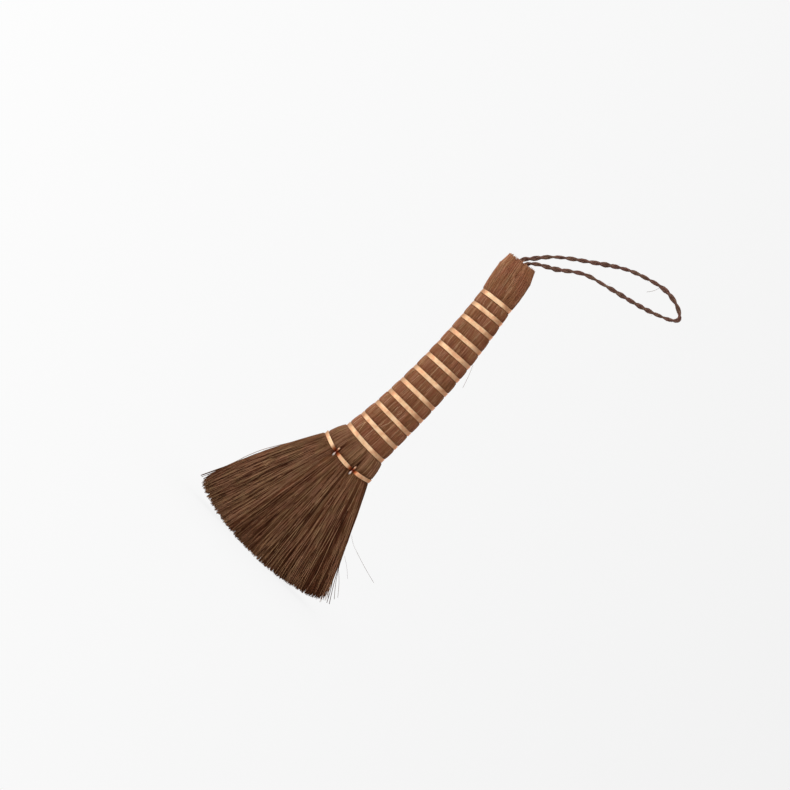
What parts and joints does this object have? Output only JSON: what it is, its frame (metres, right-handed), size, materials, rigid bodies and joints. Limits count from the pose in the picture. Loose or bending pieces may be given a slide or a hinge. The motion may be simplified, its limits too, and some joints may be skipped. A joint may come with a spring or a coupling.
{
  "type": "fibre hand brush",
  "caption": "Flat hand brush of palm fibre bound with copper wire: bundles fan out below a stitched collar, and a twisted cord loop hangs it from the handle's end.",
  "frame": {"origin": "middle of the flat back of the collar winding, where the bound handle meets the free bristles", "axes": "+Z from the bristles to the handle and loop, +X across the brush's width to the side the loop droops to, -Y out of the front face"},
  "size_m": [0.1336, 0.021, 0.2773],
  "materials": {
    "palm_fibre": "satin",
    "bristle_fibre": "matte",
    "copper_wire": "satin",
    "bamboo": "satin",
    "cord": "matte"
  },
  "bodies": {
    "handle": {"stem_left": "palm_fibre", "stem_centre": "palm_fibre", "stem_right": "palm_fibre", "tie_wire_left": "copper_wire", "tie_wire_centre": "copper_wire", "tie_wire_right": "copper_wire", "skewer": "bamboo", "collar_winding": "copper_wire", "collar_stitch_left": "copper_wire", "collar_stitch_right": "copper_wire", "handle_winding_01": "copper_wire", "handle_winding_02": "copper_wire", "handle_winding_03": "copper_wire", "handle_winding_04": "copper_wire", "handle_winding_05": "copper_wire", "handle_winding_06": "copper_wire", "handle_winding_07": "copper_wire", "handle_winding_08": "copper_wire", "handle_winding_09": "copper_wire", "handle_winding_10": "copper_wire", "handle_winding_11": "copper_wire", "handle_winding_12": "copper_wire", "cord_knot": "cord"},
    "tuft_left": {"bristles_left": "bristle_fibre"},
    "tuft_centre": {"bristles_centre": "bristle_fibre"},
    "tuft_right": {"bristles_right": "bristle_fibre"},
    "loop_neck": {"cord_neck_upper_ply_1": "cord", "cord_neck_upper_ply_2": "cord", "cord_neck_lower_ply_1": "cord", "cord_neck_lower_ply_2": "cord"},
    "loop_eye": {"cord_eye_ply_1": "cord", "cord_eye_ply_2": "cord"}
  },
  "joints": [
    {"name": "left_bristles_flex", "type": "hinge", "parent": "handle", "child": "tuft_left", "pos_m": [0, -0.00713, -0.0134], "axis": [1, 0, 0], "range_deg": [-20, 20], "stiffness_Nm_per_rad": 0.02},
    {"name": "centre_bristles_flex", "type": "hinge", "parent": "handle", "child": "tuft_centre", "pos_m": [0, -0.00713, -0.0134], "axis": [1, 0, 0], "range_deg": [-20, 20], "stiffness_Nm_per_rad": 0.02},
    {"name": "right_bristles_flex", "type": "hinge", "parent": "handle", "child": "tuft_right", "pos_m": [0, -0.00713, -0.0134], "axis": [1, 0, 0], "range_deg": [-20, 20], "stiffness_Nm_per_rad": 0.02},
    {"name": "loop_swing", "type": "hinge", "parent": "handle", "child": "loop_neck", "pos_m": [-0.00799, -0.00713, 0.1536], "axis": [0, -1, 0], "range_deg": [-25, 85], "stiffness_Nm_per_rad": 0.02},
    {"name": "loop_fold", "type": "hinge", "parent": "loop_neck", "child": "loop_eye", "pos_m": [0.0205, -0.00713, 0.1786], "axis": [-0.2756, 0, 0.9613], "range_deg": [-75, 75], "stiffness_Nm_per_rad": 0.01}
  ]
}
